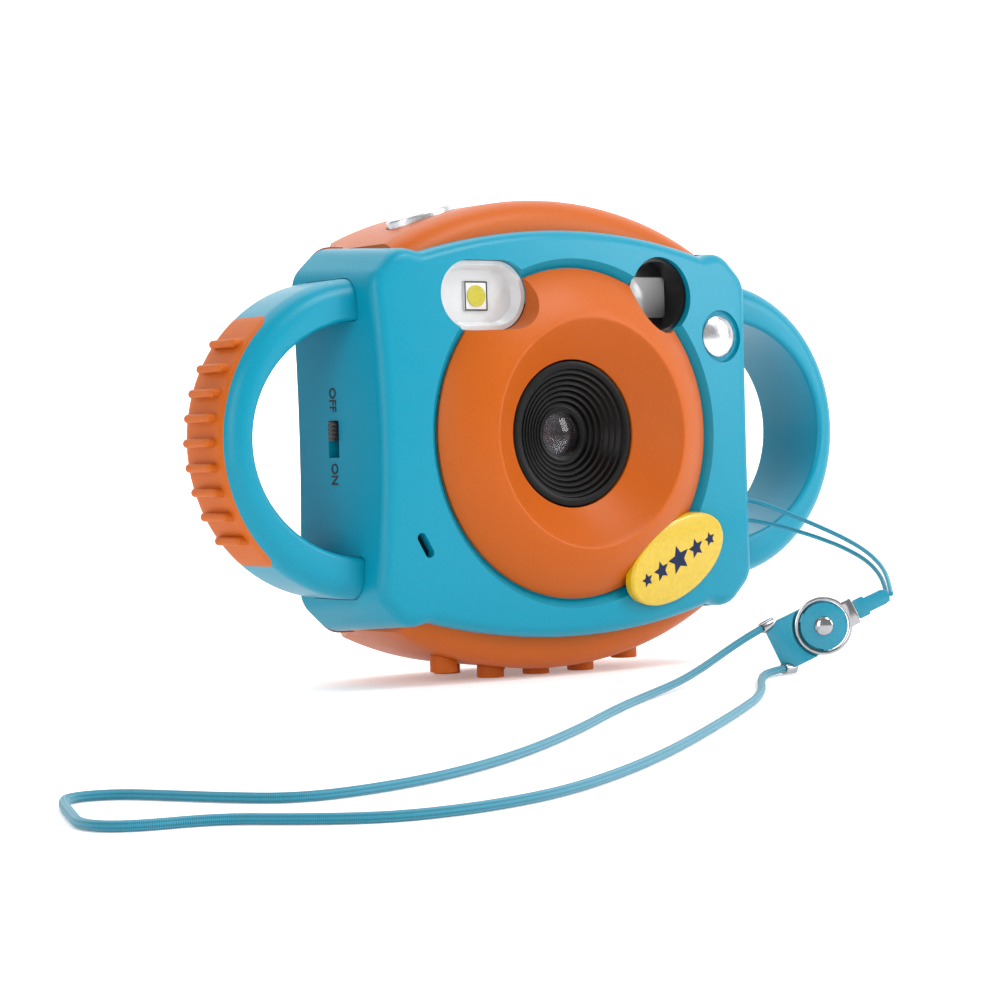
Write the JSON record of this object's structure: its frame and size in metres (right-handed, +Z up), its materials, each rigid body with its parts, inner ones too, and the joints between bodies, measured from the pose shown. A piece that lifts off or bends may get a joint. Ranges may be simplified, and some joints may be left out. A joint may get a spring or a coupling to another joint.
{
  "type": "children's digital camera",
  "caption": "Chunky two-tone children's digital camera with a domed lens, ring handles with ribbed grips, a small flash, a finder window and a thin wrist strap.",
  "frame": {"origin": "middle of the camera's footprint, on the surface that it stands on, without its strap", "axes": "+X to the viewer's right across the handles, the lens looks along -Y, +Z up"},
  "size_m": [0.2248, 0.1759, 0.084],
  "materials": {
    "blue_plastic": "satin",
    "orange_plastic": "satin",
    "orange_rubber": "matte",
    "black_plastic": "satin",
    "yellow_plastic": "gloss",
    "reflector": "gloss",
    "phosphor": "gloss",
    "white_plastic": "matte",
    "lens_glass": "polished",
    "clear_window": "polished",
    "screen_glass": "gloss",
    "lcd": "satin",
    "mirror": "polished",
    "chrome": "polished",
    "silver_paint": "satin",
    "steel": "satin",
    "circuit_board": "satin",
    "chip": "matte",
    "flex_film": "satin",
    "cell_jacket": "gloss",
    "blue_rubber": "matte",
    "cord_fabric": "woven",
    "strap_plastic": "satin"
  },
  "bodies": {
    "camera": {"front_shell": "blue_plastic", "rear_shell": "orange_plastic", "lens_plate": "orange_plastic", "lens_barrel": "black_plastic", "lens_glass": "lens_glass", "lens_cell": "black_plastic", "inner_lens": "lens_glass", "flash_reflector": "reflector", "flash_led": "black_plastic", "flash_phosphor": "phosphor", "flash_board": "circuit_board", "finder_tube": "black_plastic", "finder_window": "clear_window", "eyepiece": "clear_window", "selfie_mirror": "mirror", "badge": "yellow_plastic", "left_handle": "blue_plastic", "right_handle": "blue_plastic", "left_grip": "orange_rubber", "right_grip": "orange_rubber", "rubber_feet": "blue_rubber", "screen_window": "screen_glass", "lcd_panel": "lcd", "main_board": "circuit_board", "board_chips": "chip", "sensor_board": "circuit_board", "image_sensor": "chip", "flex_cable": "flex_film", "push_switches": "chip", "side_boards": "circuit_board", "slide_switch": "steel", "usb_socket": "steel", "card_socket": "steel", "speaker": "black_plastic", "microphone": "steel", "battery_cells": "cell_jacket", "battery_contacts": "steel", "battery_frame": "black_plastic", "case_screws": "steel", "strap_bar": "steel", "swivel_ring": "chrome", "strap_tongue": "strap_plastic", "wrist_cord": "cord_fabric", "upper_string": "cord_fabric", "lower_string": "cord_fabric"},
    "shutter_button": {"shutter_button": "silver_paint"},
    "power_knob": {"power_knob": "black_plastic"},
    "battery_door": {"battery_door": "orange_plastic", "door_screw": "steel"},
    "port_cover": {"port_cover": "blue_rubber"},
    "buckle": {"buckle_base": "strap_plastic", "swivel_disc": "strap_plastic", "swivel_rivet": "chrome", "cord_crimps": "chrome"},
    "key_menu": {"key_menu": "black_plastic"},
    "key_up": {"key_up": "black_plastic"},
    "key_ok": {"key_ok": "yellow_plastic"},
    "key_down": {"key_down": "black_plastic"},
    "key_play": {"key_play": "black_plastic"}
  },
  "joints": [
    {"name": "shutter_press", "type": "slide", "parent": "camera", "child": "shutter_button", "axis": [0.2827, 0, -0.9592], "range_m": [0, 0.001], "stiffness_N_per_m": 600},
    {"name": "power_slide", "type": "slide", "parent": "camera", "child": "power_knob", "axis": [0, 0, -1], "range_m": [0, 0.0026]},
    {"name": "door_hinge", "type": "hinge", "parent": "camera", "child": "battery_door", "pos_m": [0, 0.0202, 0.022], "axis": [1, 0, 0], "range_deg": [0, 95]},
    {"name": "port_hinge", "type": "hinge", "parent": "camera", "child": "port_cover", "pos_m": [0.0416, 0.004, 0.0496], "axis": [0, 0, 1], "range_deg": [0, 100]},
    {"name": "buckle_swivel", "type": "hinge", "parent": "camera", "child": "buckle", "pos_m": [0.03, -0.045, 0.0083], "axis": [0.5736, 0.8191, 0], "range_deg": [0, 35], "deforming": ["wrist_cord"]},
    {"name": "key_menu_press", "type": "slide", "parent": "camera", "child": "key_menu", "axis": [0, -1, 0], "range_m": [0, 0.0005], "stiffness_N_per_m": 600},
    {"name": "key_up_press", "type": "slide", "parent": "camera", "child": "key_up", "axis": [0, -1, 0], "range_m": [0, 0.0005], "stiffness_N_per_m": 600},
    {"name": "key_ok_press", "type": "slide", "parent": "camera", "child": "key_ok", "axis": [0, -1, 0], "range_m": [0, 0.0005], "stiffness_N_per_m": 600},
    {"name": "key_down_press", "type": "slide", "parent": "camera", "child": "key_down", "axis": [0, -1, 0], "range_m": [0, 0.0005], "stiffness_N_per_m": 600},
    {"name": "key_play_press", "type": "slide", "parent": "camera", "child": "key_play", "axis": [0, -1, 0], "range_m": [0, 0.0005], "stiffness_N_per_m": 600}
  ]
}
